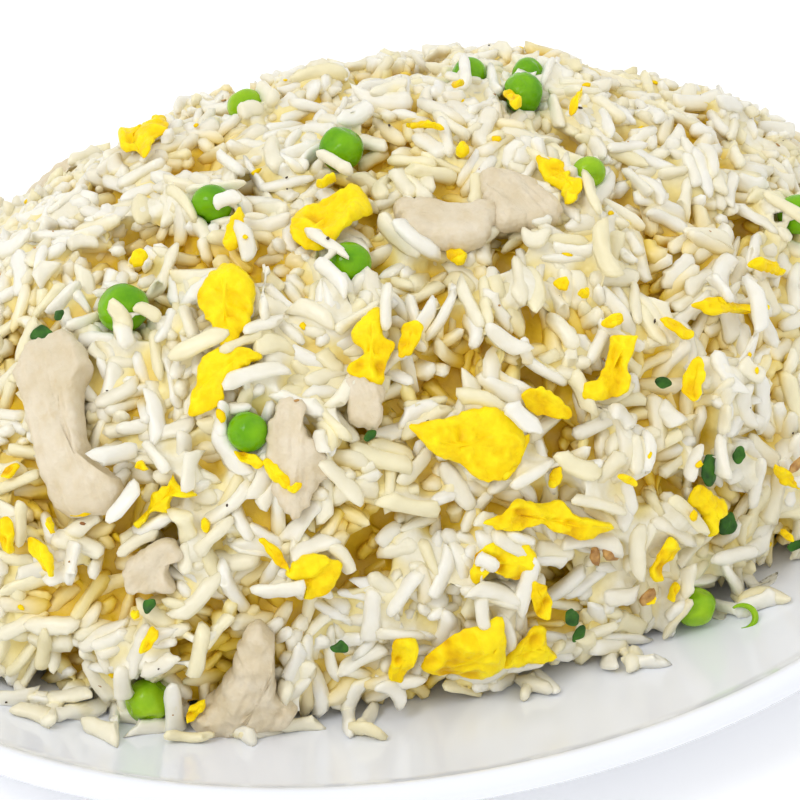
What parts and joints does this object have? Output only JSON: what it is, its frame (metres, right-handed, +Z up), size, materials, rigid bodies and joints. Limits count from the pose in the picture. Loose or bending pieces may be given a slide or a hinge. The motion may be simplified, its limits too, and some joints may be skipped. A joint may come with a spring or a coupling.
{
  "type": "fried rice plate",
  "caption": "Oval white platter heaped with fried rice, with peas, scrambled egg, chicken pieces and scallion lying in the surface.",
  "frame": {"origin": "centre of the oval platter's foot, on the surface it stands on", "axes": "+X along the platter's long axis, +Z up; the side seen in the usual view faces -Y"},
  "size_m": [0.238, 0.184, 0.0716],
  "materials": {
    "glaze": "glossy white glaze",
    "rice": "moist cooked rice, satin",
    "pea": "glossy cooked pea skin",
    "egg": "soft scrambled egg, satin",
    "chicken": "cooked chicken, satin",
    "scallion": "wilted scallion leaf, satin"
  },
  "bodies": {
    "root": {"plate": "glaze", "rice": "rice", "pea_01": "pea", "pea_02": "pea", "pea_03": "pea", "pea_04": "pea", "pea_05": "pea", "pea_06": "pea", "pea_07": "pea", "pea_08": "pea", "pea_09": "pea", "pea_10": "pea", "pea_11": "pea", "pea_12": "pea", "pea_13": "pea", "pea_14": "pea", "pea_15": "pea", "pea_16": "pea", "pea_17": "pea", "pea_18": "pea", "pea_19": "pea", "pea_20": "pea", "pea_21": "pea", "egg_01": "egg", "egg_02": "egg", "egg_03": "egg", "egg_04": "egg", "egg_05": "egg", "egg_06": "egg", "egg_07": "egg", "egg_08": "egg", "egg_09": "egg", "egg_10": "egg", "egg_11": "egg", "egg_12": "egg", "egg_13": "egg", "egg_14": "egg", "egg_15": "egg", "egg_16": "egg", "egg_17": "egg", "egg_18": "egg", "egg_19": "egg", "egg_20": "egg", "egg_21": "egg", "egg_22": "egg", "egg_23": "egg", "chicken_01": "chicken", "chicken_02": "chicken", "chicken_03": "chicken", "chicken_04": "chicken", "chicken_05": "chicken", "chicken_06": "chicken", "chicken_07": "chicken", "chicken_08": "chicken", "chicken_09": "chicken", "chicken_10": "chicken", "scallion_01": "scallion", "scallion_02": "scallion", "scallion_03": "scallion", "scallion_04": "scallion"}
  },
  "joints": []
}
